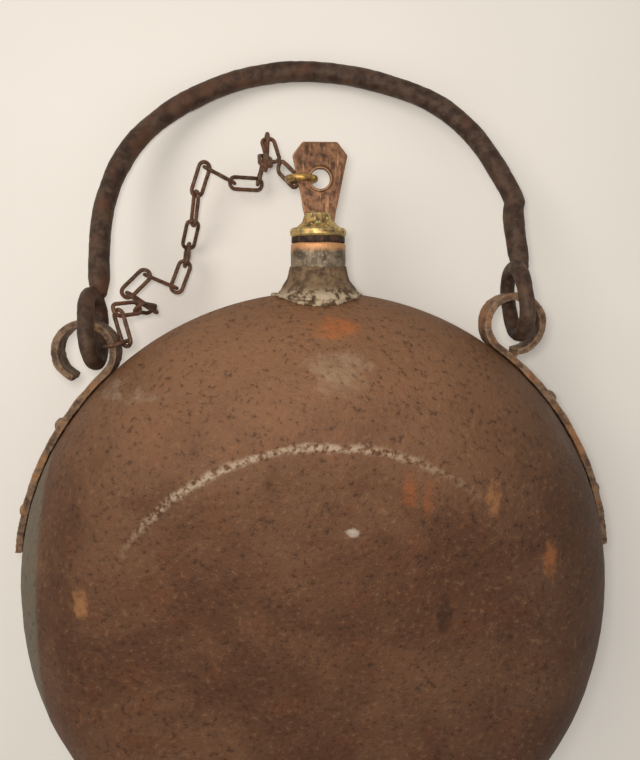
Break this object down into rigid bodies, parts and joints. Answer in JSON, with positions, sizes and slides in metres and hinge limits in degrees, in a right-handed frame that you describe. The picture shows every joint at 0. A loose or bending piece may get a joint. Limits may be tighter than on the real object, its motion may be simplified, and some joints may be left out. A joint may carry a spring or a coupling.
{
  "type": "canteen",
  "caption": "Round rusty iron canteen with a soldered neck, a screw stopper on a chain and a swinging bail handle hung from riveted eyes.",
  "frame": {"origin": "centre of the flat disc of the back, which rests on the table", "axes": "+Z out of the front face, +Y toward the neck, +X across to the right seen from the front"},
  "size_m": [0.2615, 0.3639, 0.1065],
  "materials": {
    "rusty_iron": "pebbled rust",
    "bail_iron": "dark forged iron with worn streaks",
    "strap_iron": "rusty flat iron",
    "solder": "old dull solder",
    "neck_iron": "dark tinned iron",
    "stopper_brass": "worn copper-brown brass",
    "ring_brass": "dull brass",
    "chain_iron": "rusty wire",
    "leather": "hard old leather"
  },
  "bodies": {
    "canteen_body": {"front_shell": "rusty_iron", "back_shell": "rusty_iron", "seam_hoop": "rusty_iron", "neck_tube": "neck_iron", "neck_solder": "solder", "strap_left": "strap_iron", "strap_right": "strap_iron", "rivets_left": "strap_iron", "rivets_right": "strap_iron", "chain_tie": "chain_iron", "chain_link_01": "chain_iron", "chain_link_02": "chain_iron", "chain_link_03": "chain_iron", "chain_link_04": "chain_iron", "chain_link_05": "chain_iron", "chain_link_06": "chain_iron", "chain_link_07": "chain_iron", "chain_link_08": "chain_iron", "chain_link_09": "chain_iron", "chain_link_10": "chain_iron", "chain_link_11": "chain_iron"},
    "bail": {"bail": "bail_iron"},
    "washer": {"stopper_washer": "leather"},
    "stopper": {"stopper_plug": "stopper_brass", "stopper_tab": "stopper_brass"},
    "ring": {"stopper_ring": "ring_brass", "chain_link_18": "chain_iron"},
    "chain_middle": {"chain_link_12": "chain_iron", "chain_link_13": "chain_iron", "chain_link_14": "chain_iron"},
    "chain_end": {"chain_link_15": "chain_iron", "chain_link_16": "chain_iron", "chain_link_17": "chain_iron"}
  },
  "joints": [
    {"name": "bail_swing", "type": "hinge", "parent": "canteen_body", "child": "bail", "pos_m": [-0.00408, 0.14186, 0.052], "axis": [0.9982, 0.0602, 0], "range_deg": [0, 158]},
    {"name": "stopper_lift", "type": "slide", "parent": "canteen_body", "child": "washer", "axis": [0, 1, 0], "range_m": [0, 0.0121]},
    {"name": "stopper_turn", "type": "hinge", "parent": "washer", "child": "stopper", "pos_m": [0, 0.1704, 0.052], "axis": [0, 1, 0], "range_deg": [0, 1440]},
    {"name": "ring_swing", "type": "hinge", "parent": "stopper", "child": "ring", "pos_m": [-0.0013, 0.1964, 0.052], "axis": [0, 0, 1], "range_deg": [0, 18]},
    {"name": "chain_middle_swing", "type": "hinge", "parent": "canteen_body", "child": "chain_middle", "pos_m": [-0.04917, 0.20596, 0.0186], "axis": [0, 0, 1], "range_deg": [0, 17.64]},
    {"name": "chain_end_swing", "type": "hinge", "parent": "chain_middle", "child": "chain_end", "pos_m": [-0.02278, 0.213, 0.00824], "axis": [0, 0, 1], "range_deg": [0, 20.72]}
  ],
  "couplings": [
    {"joint": "stopper_lift", "follows": "stopper_turn", "m_per_rad": 0.00047746},
    {"joint": "chain_middle_swing", "follows": "stopper_turn", "ratio": 0.012218},
    {"joint": "chain_end_swing", "follows": "stopper_turn", "ratio": 0.014356}
  ]
}
